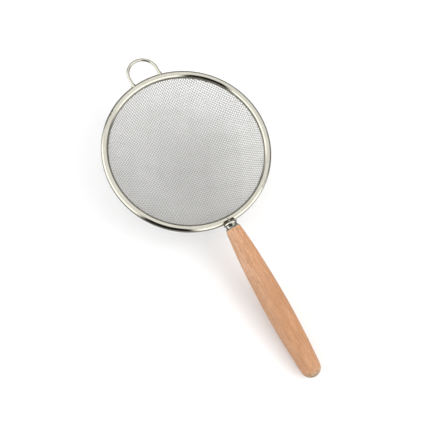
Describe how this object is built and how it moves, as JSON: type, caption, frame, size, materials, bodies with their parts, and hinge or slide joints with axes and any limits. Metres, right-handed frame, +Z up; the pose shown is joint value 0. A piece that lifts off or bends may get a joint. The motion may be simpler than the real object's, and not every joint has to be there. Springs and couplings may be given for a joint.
{
  "type": "tea strainer",
  "caption": "Round fine-mesh tea strainer: woven steel bowl in a rolled steel rim, wire hanging loop, pressed ferrule and turned beech handle",
  "frame": {"origin": "centre of the rim's flat underside, the face that rests on a cup", "axes": "+Z up along the axis of the bowl, +X from the centre of the rim along the handle, rim plane level"},
  "size_m": [0.21, 0.1, 0.0359],
  "materials": {
    "rim_steel": "bright rolled stainless steel strip, polished",
    "loop_wire": "bright drawn stainless steel wire",
    "ferrule_steel": "bright pressed stainless steel",
    "mesh_cloth": "fine plain-woven stainless steel wire cloth",
    "drawn_wire": "drawn steel wire, hidden inside the rim and the handle",
    "weld_metal": "ground weld metal",
    "beech": "turned beech, fine sanded, thin clear oil"
  },
  "bodies": {
    "root": {"rim_band": "rim_steel", "core_wire": "drawn_wire", "mesh_bowl": "mesh_cloth", "hanging_loop": "loop_wire", "loop_welds": "weld_metal", "tang": "drawn_wire", "tang_weld": "weld_metal", "ferrule": "ferrule_steel", "handle": "beech"}
  },
  "joints": []
}
